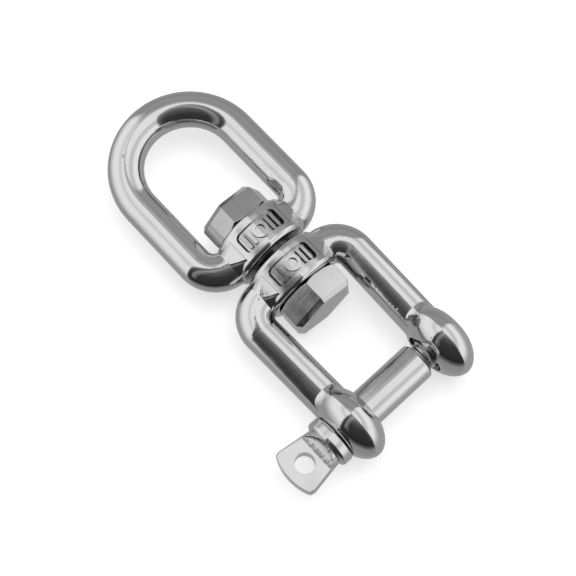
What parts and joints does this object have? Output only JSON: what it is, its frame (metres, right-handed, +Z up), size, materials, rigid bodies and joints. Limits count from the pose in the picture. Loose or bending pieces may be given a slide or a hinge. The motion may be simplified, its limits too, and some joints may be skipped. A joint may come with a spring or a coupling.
{
  "type": "jaw and eye anchor swivel",
  "caption": "Stainless anchor swivel: a round eye and a forked jaw turn on a hexagon bolt, and a screw pin with a flattened head closes the jaw.",
  "frame": {"origin": "on the axis of the clevis pin, midway between the two ears of the jaw", "axes": "+X along the swivel axis from the pin towards the eye, +Y along the clevis pin towards its head, +Z up, square to the plane in which eye and jaw lie"},
  "size_m": [0.1086, 0.057, 0.0216],
  "materials": {
    "polished_casting": "investment cast stainless steel, mirror polished",
    "machined_bolt": "machined stainless steel, polished flats",
    "machined_nut": "machined stainless steel, tumbled and polished",
    "weld": "stainless steel weld, dressed flush",
    "turned_pin": "turned stainless steel, polished, with fine milling marks on the tab"
  },
  "bodies": {
    "jaw": {"jaw_body": "polished_casting"},
    "eye": {"eye_body": "polished_casting"},
    "bolt": {"swivel_bolt": "machined_bolt", "swivel_nut": "machined_nut", "lock_weld": "weld"},
    "pin": {"clevis_pin": "turned_pin"}
  },
  "joints": [
    {"name": "eye_swivel", "type": "hinge", "parent": "jaw", "child": "eye", "pos_m": [0.0435, 0, 0], "axis": [1, 0, 0], "continuous": true},
    {"name": "bolt_spin", "type": "hinge", "parent": "jaw", "child": "bolt", "pos_m": [0.0435, 0, 0], "axis": [1, 0, 0], "continuous": true},
    {"name": "pin_travel", "type": "slide", "parent": "jaw", "child": "pin", "axis": [0, 1, 0], "range_m": [0, 0.042]}
  ]
}
